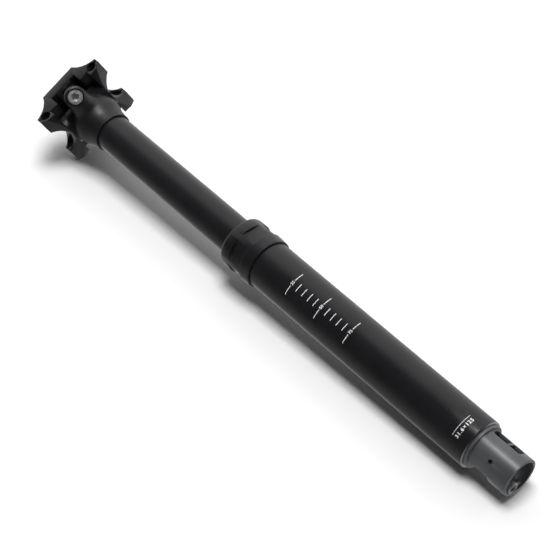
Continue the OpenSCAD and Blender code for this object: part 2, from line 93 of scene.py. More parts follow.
class Graph:
    """Short way to build a node tree."""

    def __init__(self, tree: bpy.types.NodeTree) -> None:
        """Keeps the tree that nodes are added to."""
        self.tree = tree

    def node(self, kind: str, **values: object) -> bpy.types.Node:
        """Adds a node.

        Args:
            kind: Blender's name of the node's type.
            values: properties of the node.

        Returns:
            The new node.
        """
        made = self.tree.nodes.new(kind)
        for name, value in values.items():
            setattr(made, name, value)
        return made

    def link(self, start: Socket, end: Socket) -> None:
        """Joins two sockets."""
        self.tree.links.new(start, end)

    def calc(self, operation: str, *values: Socket | float) -> Socket:
        """Adds a calculation.

        Args:
            operation: Blender's name of the operation.
            values: sockets or plain numbers that it works on.

        Returns:
            The socket of its result.
        """
        made = self.node("ShaderNodeMath", operation=operation)
        for socket, value in zip(made.inputs, values):
            if isinstance(value, Socket):
                self.link(value, socket)
            else:
                socket.default_value = value
        return made.outputs[0]

    def choose(self, chooser: Socket, first: Socket, second: Socket) -> Socket:
        """Adds a choice between two shaders.

        Args:
            chooser: 0 for the first shader and 1 for the second.
            first: socket of the first shader.
            second: socket of the second shader.

        Returns:
            The socket of the chosen shader.
        """
        made = self.node("ShaderNodeMixShader")
        for socket, value in zip(made.inputs, (chooser, first, second)):
            self.link(value, socket)
        return made.outputs[0]


@dataclass(frozen=True)
class Finish:
    """A surface with fine grain, worn sheen and slow change of shade.

    Attributes:
        name: name of the material.
        colour: base colour, linear.
        metallic: how far it is a metal.
        roughness: middle of its roughness.
        grain_per_m: fineness of the grain.
        grain_depth: depth of the grain in metres.
        shade_change: share by which the colour drifts.
        sheen_change: amount by which the roughness drifts.
        stretch: scale of the grain and sheen along each axis.
        specular: strength of the reflection where it isn't a metal.
    """

    name: str
    colour: Point
    metallic: float
    roughness: float
    grain_per_m: float
    grain_depth: float
    shade_change: float = 0.15
    sheen_change: float = 0.06
    stretch: Point = (1.0, 1.0, 1.0)
    specular: float = 0.5

    cloud_per_m: ClassVar[float] = 45.0
    cloud_detail: ClassVar[float] = 5.0
    cloud_span: ClassVar[Span] = (0.3, 0.7)
    streak_per_m: ClassVar[float] = 260.0
    streak_detail: ClassVar[float] = 4.0
    grain_detail: ClassVar[float] = 3.0
    grain_strength: ClassVar[float] = 0.5

    def material(self) -> bpy.types.Material:
        """Builds the finish once.

        Returns:
            The material, made at the first call.
        """
        known = bpy.data.materials.get(self.name)
        if known:
            return known
        made = bpy.data.materials.new(self.name)
        made.use_nodes = True
        graph = Graph(made.node_tree)
        shader = made.node_tree.nodes["Principled BSDF"]
        shader.inputs["Metallic"].default_value = self.metallic
        shader.inputs["Specular IOR Level"].default_value = self.specular
        place = graph.node("ShaderNodeTexCoord").outputs["Object"]
        mapping = graph.node("ShaderNodeMapping")
        mapping.inputs["Scale"].default_value = self.stretch
        graph.link(place, mapping.inputs["Vector"])
        drawn = mapping.outputs["Vector"]
        self._shade(graph, place, shader)
        self._sheen(graph, drawn, shader)
        self._grain(graph, drawn, shader)
        return made

    def _noise(self, graph: Graph, place: Socket, per_m: float, detail: float) -> Socket:
        """Adds a noise.

        Args:
            graph: tree of the material.
            place: coordinates that it reads.
            per_m: its scale.
            detail: its number of finer layers.

        Returns:
            The socket of its value.
        """
        noise = graph.node("ShaderNodeTexNoise")
        noise.inputs["Scale"].default_value = per_m
        noise.inputs["Detail"].default_value = detail
        graph.link(place, noise.inputs["Vector"])
        return noise.outputs["Fac"]

    def _shade(self, graph: Graph, place: Socket, shader: bpy.types.Node) -> None:
        """Lets the colour drift slowly over the piece.

        Args:
            graph: tree of the material.
            place: coordinates on the piece.
            shader: shader that is set.
        """
        cloud = self._noise(graph, place, self.cloud_per_m, self.cloud_detail)
        ramp = graph.node("ShaderNodeValToRGB")
        changes = (1 - self.shade_change, 1 + self.shade_change)
        for stop, spot, change in zip(ramp.color_ramp.elements, self.cloud_span, changes):
            stop.position = spot
            stop.color = (*[min(1, part * change) for part in self.colour], 1)
        graph.link(cloud, ramp.inputs["Fac"])
        graph.link(ramp.outputs["Color"], shader.inputs["Base Color"])

    def _sheen(self, graph: Graph, place: Socket, shader: bpy.types.Node) -> None:
        """Varies the gloss as handling and machining do.

        Args:
            graph: tree of the material.
            place: stretched coordinates on the piece.
            shader: shader that is set.
        """
        streak = self._noise(graph, place, self.streak_per_m, self.streak_detail)
        span = graph.node("ShaderNodeMapRange")
        span.inputs["To Min"].default_value = self.roughness - self.sheen_change
        span.inputs["To Max"].default_value = self.roughness + self.sheen_change
        graph.link(streak, span.inputs["Value"])
        graph.link(span.outputs["Result"], shader.inputs["Roughness"])

    def _grain(self, graph: Graph, place: Socket, shader: bpy.types.Node) -> None:
        """Gives the surface its fine relief.

        Args:
            graph: tree of the material.
            place: stretched coordinates on the piece.
            shader: shader that is set.
        """
        relief = self._noise(graph, place, self.grain_per_m, self.grain_detail)
        bump = graph.node("ShaderNodeBump")
        bump.inputs["Strength"].default_value = self.grain_strength
        bump.inputs["Distance"].default_value = self.grain_depth
        graph.link(relief, bump.inputs["Height"])
        graph.link(bump.outputs["Normal"], shader.inputs["Normal"])


TUBE_BLACK = Finish(
    "tube_anodised", (0.012, 0.012, 0.0136), metallic=0.0, roughness=0.34,
    grain_per_m=3200, grain_depth=0.00002, stretch=(1, 1, 0.25),
)
SLIDE_BLACK = Finish(
    "stanchion_anodised", (0.0135, 0.0135, 0.0152), metallic=0.0, roughness=0.3,
    grain_per_m=3600, grain_depth=0.000012, stretch=(1, 1, 0.2), specular=0.42,
)
FORGED_BLACK = Finish(
    "forged_anodised", (0.0105, 0.0105, 0.0122), metallic=0.0, roughness=0.44,
    grain_per_m=2300, grain_depth=0.00003,
)
CLAMP_BLACK = Finish(
    "clamp_anodised", (0.0105, 0.0105, 0.0125), metallic=0.0, roughness=0.3,
    grain_per_m=2300, grain_depth=0.00003,
)
LIP_BLACK = Finish(
    "polished_edge", (0.012, 0.012, 0.0135), metallic=0.0, roughness=0.16,
    grain_per_m=3600, grain_depth=0.000006, sheen_change=0.03,
)
SLEEVE_GREY = Finish(
    "sleeve_anodised", (0.125, 0.128, 0.133), metallic=0.4, roughness=0.4,
    grain_per_m=2800, grain_depth=0.00002, stretch=(0.2, 0.2, 2.0),
)
# Painted light: the cable stop has its own grey anodised tone, lightened to stand for light that its
# end face gets little of, since the lamp only grazes it.
STOP_GREY_PAINTED_LIGHT = Finish(
    "stop_anodised_painted_light", (0.36, 0.365, 0.37), metallic=0.3, roughness=0.4,
    grain_per_m=2800, grain_depth=0.00002,
)
PLUG_GREY = Finish(
    "plug_anodised", (0.05, 0.051, 0.054), metallic=0.3, roughness=0.4,
    grain_per_m=2800, grain_depth=0.00002,
)
BARE_RIM = Finish(
    "machined_rim", (0.34, 0.345, 0.355), metallic=1.0, roughness=0.36,
    grain_per_m=3500, grain_depth=0.00002, stretch=(0.15, 0.15, 2.0),
)
# Painted shade: the lever's pivot pin is coloured nearly black to stand for the shade in its recess in
# the sleeve.
PIN_PAINTED_SHADE = Finish(
    "pin_painted_shade", (0.03, 0.03, 0.032), metallic=0.6, roughness=0.45,
    grain_per_m=2600, grain_depth=0.00002,
)
BOLT_ZINC = Finish(
    "zinc_plate", (0.82, 0.82, 0.83), metallic=0.75, roughness=0.28,
    grain_per_m=2600, grain_depth=0.00002,
)
STEEL = Finish(
    "drawn_steel", (0.6, 0.6, 0.61), metallic=1.0, roughness=0.3,
    grain_per_m=2600, grain_depth=0.00002, stretch=(1, 1, 0.2),
)
LEVER_STEEL = Finish(
    "blackened_lever", (0.12, 0.12, 0.125), metallic=0.9, roughness=0.4,
    grain_per_m=2400, grain_depth=0.00003,
)
ALLOY = Finish(
    "turned_alloy", (0.62, 0.63, 0.65), metallic=1.0, roughness=0.34,
    grain_per_m=2600, grain_depth=0.00003, stretch=(0.2, 0.2, 2.0),
)
BRASS = Finish(
    "machined_brass", (0.7, 0.52, 0.22), metallic=1.0, roughness=0.32,
    grain_per_m=2400, grain_depth=0.00002,
)
RUBBER = Finish(
    "moulded_rubber", (0.016, 0.016, 0.016), metallic=0.0, roughness=0.62,
    grain_per_m=1800, grain_depth=0.00005,
)
BUSHING = Finish(
    "bushing_plastic", (0.1, 0.15, 0.125), metallic=0.0, roughness=0.5,
    grain_per_m=1800, grain_depth=0.00004,
)
FOAM = Finish(
    "open_foam", (0.05, 0.05, 0.055), metallic=0.0, roughness=0.9,
    grain_per_m=900, grain_depth=0.0003,
)
INK = Finish(
    "printed_ink", (0.93, 0.93, 0.94), metallic=0.0, roughness=0.55,
    grain_per_m=2400, grain_depth=0.00001, shade_change=0.05,
)

SLOT_FINISH: dict[Slot, Finish] = {
    Slot.BLACK: TUBE_BLACK,
    Slot.GREY: SLEEVE_GREY,
    Slot.STEEL: STEEL,
    Slot.ALLOY: ALLOY,
    Slot.BRASS: BRASS,
    Slot.RUBBER: RUBBER,
    Slot.BUSHING: BUSHING,
    Slot.FOAM: FOAM,
}
NODE_FINISH: dict[str, Finish] = {"lever_pivot_pin": PIN_PAINTED_SHADE, "base_plug": PLUG_GREY}


def from_bmesh(name: str, shape: Shape) -> Piece:
    """Makes an object of a bmesh and frees the bmesh.

    Args:
        name: name of the object and its mesh.
        shape: shape in metres, in its place.

    Returns:
        The object, at the origin of the scene.
    """
    mesh = bpy.data.meshes.new(name)
    shape.to_mesh(mesh)
    shape.free()
    made = bpy.data.objects.new(name, mesh)
    bpy.context.scene.collection.objects.link(made)
    return made


def from_mm(name: str, shape: Shape) -> Piece:
    """Makes an object of a bmesh that is in millimetres."""
    bmesh.ops.scale(shape, vec=(MM, MM, MM), verts=shape.verts)
    return from_bmesh(name, shape)


def settle(piece: Piece) -> None:
    """Turns a piece and its modifiers into a plain mesh.

    Args:
        piece: piece whose modifiers are applied and removed.
    """
    graph = bpy.context.evaluated_depsgraph_get()
    graph.update()
    mesh = bpy.data.meshes.new_from_object(piece.evaluated_get(graph), depsgraph=graph)
    old = piece.data
    piece.modifiers.clear()
    piece.data = mesh
    mesh.name = piece.name
    bpy.data.meshes.remove(old)


def discard(*pieces: Piece) -> None:
    """Removes helper objects and their meshes.

    Args:
        pieces: objects that are needed no more.
    """
    for piece in pieces:
        mesh = piece.data
        bpy.data.objects.remove(piece)
        bpy.data.meshes.remove(mesh)


def smooth(piece: Piece, angle: float = 30.0) -> None:
    """Shades a piece smooth up to an angle in degrees."""
    piece.data.shade_smooth()
    piece.data.set_sharp_from_angle(angle=math.radians(angle))


def lathe(name: str, profile: Profile, segments: int = 192, angle: float = 30.0) -> Piece:
    """Turns a closed profile about the post's axis.

    Args:
        name: name of the piece.
        profile: radius and height of each corner in millimetres, in order round the wall.
        segments: steps round the axis.
        angle: largest angle in degrees that is shaded smooth.

    Returns:
        The turned piece.
    """
    shape = bmesh.new()
    rings = []
    for step in range(segments):
        turn = math.tau * step / segments
        across, along = MM * math.cos(turn), MM * math.sin(turn)
        rings.append([shape.verts.new((r * across, r * along, z * MM)) for r, z in profile])
    for step, near in enumerate(rings):
        far = rings[(step + 1) % segments]
        for k in range(len(profile)):
            nxt = (k + 1) % len(profile)
            shape.faces.new((near[k], far[k], far[nxt], near[nxt]))
    bmesh.ops.recalc_face_normals(shape, faces=shape.faces)
    piece = from_bmesh(name, shape)
    smooth(piece, angle)
    return piece


def add_cone(shape: Shape, low: Vector, high: Vector, low_r: float, high_r: float) -> None:
    """Adds a closed cone to a shape in millimetres.

    Args:
        shape: shape that it is added to.
        low: middle of its first end.
        high: middle of its second end.
        low_r: radius of its first end.
        high_r: radius of its second end.
    """
    way = high - low
    place = Matrix.Translation((low + high) / 2) @ way.to_track_quat("Z", "Y").to_matrix().to_4x4()
    bmesh.ops.create_cone(
        shape, cap_ends=True, segments=ROUND_STEPS, radius1=low_r, radius2=high_r,
        depth=way.length, matrix=place,
    )


def rod(name: str, low: Vector, high: Vector, radius: float) -> Piece:
    """Makes a round cutter.

    Args:
        name: name of the cutter.
        low: middle of its first end in millimetres.
        high: middle of its second end in millimetres.
        radius: radius in millimetres.

    Returns:
        The cutter.
    """
    shape = bmesh.new()
    add_cone(shape, low, high, radius, radius)
    return from_mm(name, shape)


def block(name: str, low: Point, high: Point) -> Piece:
    """Makes a box as a cutter.

    Args:
        name: name of the cutter.
        low: lowest corner in millimetres.
        high: highest corner in millimetres.

    Returns:
        The cutter.
    """
    start, end = Vector(low), Vector(high)
    shape = bmesh.new()
    place = Matrix.Translation((start + end) / 2) @ Matrix.Diagonal((*(end - start), 1))
    bmesh.ops.create_cube(shape, size=1, matrix=place)
    return from_mm(name, shape)


def softened(name: str, node: str, width: float, segments: int = 2, angle: float = 28.0) -> Piece:
    """Copies a solid and rounds its edges.

    Args:
        name: name of the new piece.
        node: solid that is copied.
        width: width of the rounding in millimetres.
        segments: steps of the rounding.
        angle: least angle in degrees of an edge that is rounded.

    Returns:
        The rounded copy.
    """
    shape = bmesh.new()
    shape.from_mesh(frame["nodes"][node].data)
    bmesh.ops.remove_doubles(shape, verts=shape.verts, dist=WELD_M)
    bmesh.ops.dissolve_limit(
        shape, angle_limit=math.radians(FLAT_DEG), verts=shape.verts, edges=shape.edges,
    )
    piece = from_bmesh(name, shape)
    bevel = piece.modifiers.new("edges", "BEVEL")
    bevel.width = width * MM
    bevel.segments = segments
    bevel.limit_method = "ANGLE"
    bevel.angle_limit = math.radians(angle)
    bevel.use_clamp_overlap = True
    bevel.miter_outer = "MITER_ARC"
    settle(piece)
    smooth(piece, SOFT_DEG)
    return piece


def dress(piece: Piece, finish: Finish, body: Body, slot: Slot, *nodes: str) -> None:
    """Gives a piece its finish and body.

    Args:
        piece: finished piece at the origin.
        finish: surface of the piece.
        body: group that it moves with.
        slot: slot of the record that it belongs to; not used.
        nodes: solids that it stands for.
    """
    piece.data.materials.clear()
    piece.data.materials.append(finish.material())
    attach(piece, body.value)
    if nodes:
        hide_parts(*nodes)
    LOG.info("%s: %d faces on %s", piece.name, len(piece.data.polygons), body.value)


@dataclass(frozen=True)
class Panel:
    """Square light panel over the floor.

    Attributes:
        name: name of the lamp.
        size: side of the panel in metres.
        distance: distance from the post in metres.
        power: power in watts.
        lean_right: lean from overhead to the picture's right, as a slope.
        lean_away: lean from overhead to the picture's top, as a slope.
    """

    name: str
    size: float
    distance: float
    power: float
    lean_right: float
    lean_away: float


@dataclass(frozen=True)
class Glint:
    """Narrow lamp that gives one form its highlight.

    Attributes:
        name: name of the lamp.
        spot: point it is aimed at, in metres.
        distance: height over that point in metres.
        power: power in watts.
        radius: radius of the lamp in metres.
        cone_deg: full angle of its cone.
    """

    name: str
    spot: Point
    distance: float
    power: float
    radius: float
    cone_deg: float


@dataclass
class Studio:
    """Camera, floor and soft light of the photograph, in metres."""

    eye: Point = (-0.0599, -0.8571, -0.4994)
    right: Point = (0.6725, 0.3308, -0.6621)
    up: Point = (0.7378, -0.3698, 0.5646)
    lens_mm: float = 104.47
    sensor_mm: float = 36.0
    clip_start: float = 0.01
    floor_normal: Point = (0.477, -0.8785, 0.046)
    floor_offset: float = -0.0243
    floor_size: float = 3.0
    paper_white: float = 0.93
    glow_span: Span = (0.04, 0.3)
    middle: Point = (0.0, 0.0, -0.005)
    box: Panel = Panel("soft_box", 0.85, 2.0, 34.5, 0.02, 0.02)
    glints: tuple[Glint, ...] = (
        Glint("head_glint", (0.0, -0.016, 0.176), 0.9, 24.0, 0.03, 5.0),
        Glint("foot_glint", (0.0, 0.0, -0.207), 0.9, 22.0, 0.03, 3.6),
    )
    cone_blend: float = 0.8
    far_side: float = 0.92
    near_side: float = 0.02
    side_span: Span = (0.0, 0.4)
    lean_right: float = 0.2
    under_side: float = 0.42
    under_span: Span = (-0.15, 0.7)

    def build(self) -> None:
        """Makes the whole studio."""
        self._camera()
        self._floor()
        self._light()
        self._world()
        bpy.context.scene.view_settings.view_transform = "Standard"

    def _axes(self) -> tuple[Vector, Vector, Vector]:
        """Finds the floor's directions.

        Returns:
            The floor's right, away and up directions.
        """
        normal = Vector(self.floor_normal).normalized()
        right = Vector(self.right)
        right = (right - normal * right.dot(normal)).normalized()
        return right, normal.cross(right), normal

    def _camera(self) -> None:
        """Puts the camera at the photograph's view."""
        data = bpy.data.cameras.new("view")
        data.lens = self.lens_mm
        data.sensor_width = self.sensor_mm
        data.clip_start = self.clip_start
        camera = bpy.data.objects.new("view", data)
        right, up = Vector(self.right).normalized(), Vector(self.up).normalized()
        back = right.cross(up).normalized()
        turn = Matrix((right, back.cross(right), back)).transposed().to_4x4()
        camera.matrix_world = Matrix.Translation(self.eye) @ turn
        bpy.context.scene.collection.objects.link(camera)
        bpy.context.scene.camera = camera

    def _floor(self) -> None:
        """Lays the pale floor that the post rests on."""
        right, away, normal = self._axes()
        foot = normal * self.floor_offset
        shape = bmesh.new()
        for a, b in ((-1, -1), (1, -1), (1, 1), (-1, 1)):
            shape.verts.new(foot + (right * a + away * b) * self.floor_size)
        shape.faces.new(list(shape.verts))
        shape.normal_update()
        floor = from_bmesh("floor", shape)
        floor.data.materials.append(self._floor_material())
        floor.visible_glossy = False

    def _floor_material(self) -> bpy.types.Material:
        """Makes white paper that keeps its shadow and is open from below.

        Returns:
            The floor's material.
        """
        made = bpy.data.materials.new("floor_paper")
        made.use_nodes = True
        made.node_tree.nodes.clear()
        graph = Graph(made.node_tree)
        paper = graph.node("ShaderNodeBsdfDiffuse")
        paper.inputs["Color"].default_value = (*[self.paper_white] * 3, 1)
        lit = graph.node("ShaderNodeAddShader")
        graph.link(paper.outputs[0], lit.inputs[0])
        graph.link(self._glow(graph), lit.inputs[1])
        path = graph.node("ShaderNodeLightPath")
        seen = graph.choose(path.outputs["Is Camera Ray"], paper.outputs[0], lit.outputs[0])
        side = graph.node("ShaderNodeNewGeometry")
        below = graph.node("ShaderNodeBsdfTransparent")
        face = graph.choose(side.outputs["Backfacing"], seen, below.outputs[0])
        out = graph.node("ShaderNodeOutputMaterial")
        graph.link(face, out.inputs["Surface"])
        return made

    def _glow(self, graph: Graph) -> Socket:
        """Adds the floor's glow, which grows with the distance from the post's axis.

        Args:
            graph: tree of the floor's material.

        Returns:
            The socket of the glow's shader.
        """
        place = graph.node("ShaderNodeTexCoord")
        flat = graph.node("ShaderNodeVectorMath", operation="MULTIPLY")
        flat.inputs[1].default_value = (1, 1, 0)
        reach = graph.node("ShaderNodeVectorMath", operation="LENGTH")
        fade = graph.node("ShaderNodeMapRange")
        for name, value in zip(("From Min", "From Max"), self.glow_span):
            fade.inputs[name].default_value = value
        glow = graph.node("ShaderNodeEmission")
        glow.inputs["Color"].default_value = WHITE
        graph.link(place.outputs["Object"], flat.inputs[0])
        graph.link(flat.outputs["Vector"], reach.inputs[0])
        graph.link(reach.outputs["Value"], fade.inputs["Value"])
        graph.link(fade.outputs["Result"], glow.inputs["Strength"])
        return glow.outputs[0]

    def _light(self) -> None:
        """Hangs the soft box, which stays out of the gloss, and the glints, which are in it alone."""
        self._hang(self.box).visible_glossy = False
        for glint in self.glints:
            self._aim(glint).visible_diffuse = False

    def _lamp(self, data: bpy.types.Light, spot: Vector, towards: Vector, distance: float) -> Piece:
        """Puts a lamp over a spot, facing it.

        Args:
            data: lamp that is placed.
            spot: point that it faces.
            towards: direction from the spot to the lamp.
            distance: distance from the spot to the lamp.

        Returns:
            The lamp's object.
        """
        lamp = bpy.data.objects.new(data.name, data)
        turn = towards.to_track_quat("Z", "Y").to_matrix().to_4x4()
        lamp.matrix_world = Matrix.Translation(spot + towards * distance) @ turn
        bpy.context.scene.collection.objects.link(lamp)
        return lamp

    def _aim(self, glint: Glint) -> Piece:
        """Aims one narrow lamp at its spot, straight down on the floor.

        Args:
            glint: lamp that is made.

        Returns:
            The lamp's object.
        """
        data = bpy.data.lights.new(glint.name, "SPOT")
        data.energy = glint.power
        data.shadow_soft_size = glint.radius
        data.spot_size = math.radians(glint.cone_deg)
        data.spot_blend = self.cone_blend
        _, _, normal = self._axes()
        return self._lamp(data, Vector(glint.spot), normal, glint.distance)

    def _hang(self, panel: Panel) -> Piece:
        """Hangs one panel, facing the middle of the post.

        Args:
            panel: panel that is made.

        Returns:
            The lamp's object.
        """
        data = bpy.data.lights.new(panel.name, "AREA")
        data.shape = "SQUARE"
        data.size = panel.size
        data.energy = panel.power
        right, away, normal = self._axes()
        towards = (normal + right * panel.lean_right + away * panel.lean_away).normalized()
        return self._lamp(data, Vector(self.middle), towards, panel.distance)

    def _world(self) -> None:
        """Sets the surround: white to the camera, and bright on its far side and below to the part."""
        world = bpy.data.worlds.new("studio")
        world.use_nodes = True
        bpy.context.scene.world = world
        graph = Graph(world.node_tree)
        right, away, normal = self._axes()
        far = away + right * self.lean_right
        side = self._sweep(graph, far, self.side_span, (self.near_side, self.far_side))
        under = self._sweep(graph, -normal, self.under_span, (0.0, self.under_side))
        path = graph.node("ShaderNodeLightPath")
        seen = graph.node("ShaderNodeMix", data_type="FLOAT")
        seen.inputs[3].default_value = 1.0
        graph.link(path.outputs["Is Camera Ray"], seen.inputs[0])
        graph.link(graph.calc("MAXIMUM", side, under), seen.inputs[2])
        ground = world.node_tree.nodes["Background"]
        ground.inputs["Color"].default_value = WHITE
        graph.link(seen.outputs[0], ground.inputs["Strength"])

    def _sweep(self, graph: Graph, towards: Vector, span: Span, levels: Span) -> Socket:
        """Adds light that rises softly along a direction.

        Args:
            graph: tree of the world.
            towards: direction of the brighter side.
            span: where along it the rise starts and ends.
            levels: light before and after the rise.

        Returns:
            The socket of the light's strength.
        """
        place = graph.node("ShaderNodeTexCoord")
        reach = graph.node("ShaderNodeVectorMath", operation="DOT_PRODUCT")
        reach.inputs[1].default_value = towards
        rise = graph.node("ShaderNodeMapRange", interpolation_type="SMOOTHSTEP")
        for name, value in zip(("From Min", "From Max", "To Min", "To Max"), (*span, *levels)):
            rise.inputs[name].default_value = value
        graph.link(place.outputs["Generated"], reach.inputs[0])
        graph.link(reach.outputs["Value"], rise.inputs["Value"])
        return rise.outputs["Result"]


@dataclass
class OuterTube:
    """Tube that goes into the frame, with its bright rim and collar, in millimetres."""

    radius: float = 15.8
    bore: float = 14.1
    length: float = 179.5
    neck_radius: float = 15.1
    neck_height: float = 17.0
    chamfer: float = 0.6
    shoulder: float = 0.3
    bore_gap: float = 0.05
    skin_lap: float = 0.02
    skin_inset: float = 0.03
    run_out: float = 0.1
    rim_stand: float = 0.01
    rim_depth: float = 0.4
    collar_edge: float = 0.35
    collar_steps: int = 3

    def build(self) -> None:
        """Makes the tube, its bright rim and the collar."""
        dress(lathe("tube_skin", self._skin()), TUBE_BLACK, Body.OUTER, Slot.BLACK, "outer_tube")
        dress(lathe("tube_rim", self._rim()), BARE_RIM, Body.OUTER, Slot.ALLOY)
        collar = softened("collar_shell", "seal_collar", self.collar_edge, self.collar_steps)
        dress(collar, TUBE_BLACK, Body.OUTER, Slot.BLACK, "seal_collar")

    def _skin(self) -> Profile:
        """Draws the tube's wall, with its chamfer at the foot and its neck at the top.

        Returns:
            The corners of the wall.
        """
        low = -self.length
        return [
            (self.bore, low + self.bore_gap),
            (self.radius - self.chamfer, low + self.skin_lap),
            (self.radius - self.skin_inset, low + self.chamfer),
            (self.radius, low + self.chamfer + self.run_out),
            (self.radius, -self.shoulder),
            (self.radius - self.shoulder, 0),
            (self.neck_radius, 0),
            (self.neck_radius, self.neck_height),
            (self.bore, self.neck_height),
        ]

    def _rim(self) -> Profile:
        """Draws the bright metal of the chamfer and the tube's end.

        Returns:
            The corners of the rim.
        """
        low = -self.length
        return [
            (self.bore + self.bore_gap, low),
            (self.radius - self.chamfer - self.skin_lap, low - self.rim_stand),
            (self.radius - self.rim_stand, low + self.chamfer - self.skin_lap),
            (self.radius - self.rim_depth, low + self.rim_depth),
            (self.bore + self.bore_gap, low + self.run_out),
        ]


@dataclass(frozen=True)
class TickRow:
    """Like ticks at several heights, in millimetres.

    Attributes:
        name: name of the piece.
        arc: length of a tick round the tube.
        shift: place of its middle round the tube.
        heights: heights of the ticks.
        stroke: thickness of a tick.
    """

    name: str
    arc: float
    shift: float
    heights: tuple[float, ...]
    stroke: float


@dataclass(frozen=True)
class Figure:
    """Plain number on the tube, in millimetres.

    Attributes:
        name: name of the piece.
        digits: the number.
        height: height of the digits.
        place: height of the number's middle on the tube.
        shift: place of its middle round the tube.
        spread: room between the digits, where 1 is the plain spacing.
    """

    name: str
    digits: str
    height: float
    place: float
    shift: float = 0.0
    spread: float = 1.0


@dataclass
class PrintedScale:
    """White height marks and plain numbers on the tube's face, in millimetres."""

    radius: float = 15.83
    first: float = -29.8
    pitch: float = 5.0
    group: int = 5
    groups: int = 2
    stroke: float = 0.46
    short_arc: float = 5.4
    long_arc: float = 16.6
    number_gap: float = 4.0
    number_height: float = 1.9
    foot_line: TickRow = TickRow("foot_line", 15.2, 0.6, (-168.2,), 0.26)
    tube_size: Figure = Figure("size_numbers", "31.6×125", 2.25, -171.1, 0.4, 1.2)
    digit_share: float = 0.7
    digit_weight: float = 0.03
    digit_steps: int = 6
    longest_edge: float = 0.6

    def build(self) -> None:
        """Makes the ticks, the numbers and the plain line."""
        step = self.pitch * self.group
        ends = tuple(self.first - step * k for k in range(self.groups + 1))
        marks = [self._row(row) for row in self._rows(ends)]
        for k, place in enumerate(ends, start=1):
            digits = f"{step * k:.0f}"
            marks.append(self._number(Figure("mark_" + digits, digits, self.number_height, place)))
        marks.append(self._number(self.tube_size))
        for mark in marks:
            dress(mark, INK, Body.OUTER, Slot.BLACK)

    def _rows(self, ends: tuple[float, ...]) -> list[TickRow]:
        """Lays out the ticks.

        Args:
            ends: heights of the long ticks, which leave a gap for their numbers.

        Returns:
            The rows of ticks and the plain line at the foot.
        """
        half = (self.long_arc - self.number_gap) / 2
        middle = (self.long_arc + self.number_gap) / 4
        count = self.group * self.groups
        between = tuple(self.first - self.pitch * k for k in range(count) if k % self.group)
        return [
            TickRow("short_ticks", self.short_arc, 0.0, between, self.stroke),
            TickRow("long_ticks_left", half, -middle, ends, self.stroke),
            TickRow("long_ticks_right", half, middle, ends, self.stroke),
            self.foot_line,
        ]

    def _row(self, row: TickRow) -> Piece:
        """Repeats one tick at several heights with a node tree.

        Args:
            row: sizes and heights of the ticks.

        Returns:
            The ticks as one plain mesh.
        """
        shape = bmesh.new()
        for height in row.heights:
            shape.verts.new((0, 0, height * MM))
        piece = from_bmesh(row.name, shape)
        tree = tick_tree()
        tool = piece.modifiers.new("ticks", "NODES")
        tool.node_group = tree
        sizes = {"Arc": row.arc, "Stroke": row.stroke, "Shift": row.shift, "Radius": self.radius}
        for item in tree.interface.items_tree:
            if item.name in sizes:
                tool[item.identifier] = sizes[item.name] * MM
        settle(piece)
        return piece

    def _number(self, figure: Figure) -> Piece:
        """Prints a plain number round the tube.

        Args:
            figure: digits of the number, with their size and place.

        Returns:
            The number as a mesh on the tube.
        """
        shape = self._flat_number(figure)
        bmesh.ops.triangulate(shape, faces=shape.faces)
        long_edges = [edge for edge in shape.edges if edge.calc_length() > self.longest_edge * MM]
        bmesh.ops.subdivide_edges(shape, edges=long_edges, cuts=1)
        radius = self.radius * MM
        for vert in shape.verts:
            turn = (vert.co.x + figure.shift * MM) / radius
            height = vert.co.y + figure.place * MM
            vert.co = Vector((radius * math.sin(turn), -radius * math.cos(turn), height))
        return from_bmesh(figure.name, shape)

    def _flat_number(self, figure: Figure) -> Shape:
        """Sets a number flat about the origin.

        Args:
            figure: digits of the number, with their size.

        Returns:
            The flat digits in metres.
        """
        curve = bpy.data.curves.new(figure.name, "FONT")
        curve.body = figure.digits
        curve.size = figure.height * MM / self.digit_share
        curve.align_x = "CENTER"
        curve.align_y = "CENTER"
        curve.resolution_u = self.digit_steps
        curve.offset = self.digit_weight * figure.height * MM
        curve.space_character = figure.spread
        text = bpy.data.objects.new(figure.name + "_text", curve)
        bpy.context.scene.collection.objects.link(text)
        graph = bpy.context.evaluated_depsgraph_get()
        mesh = bpy.data.meshes.new_from_object(text.evaluated_get(graph))
        bpy.data.objects.remove(text)
        bpy.data.curves.remove(curve)
        shape = bmesh.new()
        shape.from_mesh(mesh)
        bpy.data.meshes.remove(mesh)
        return shape


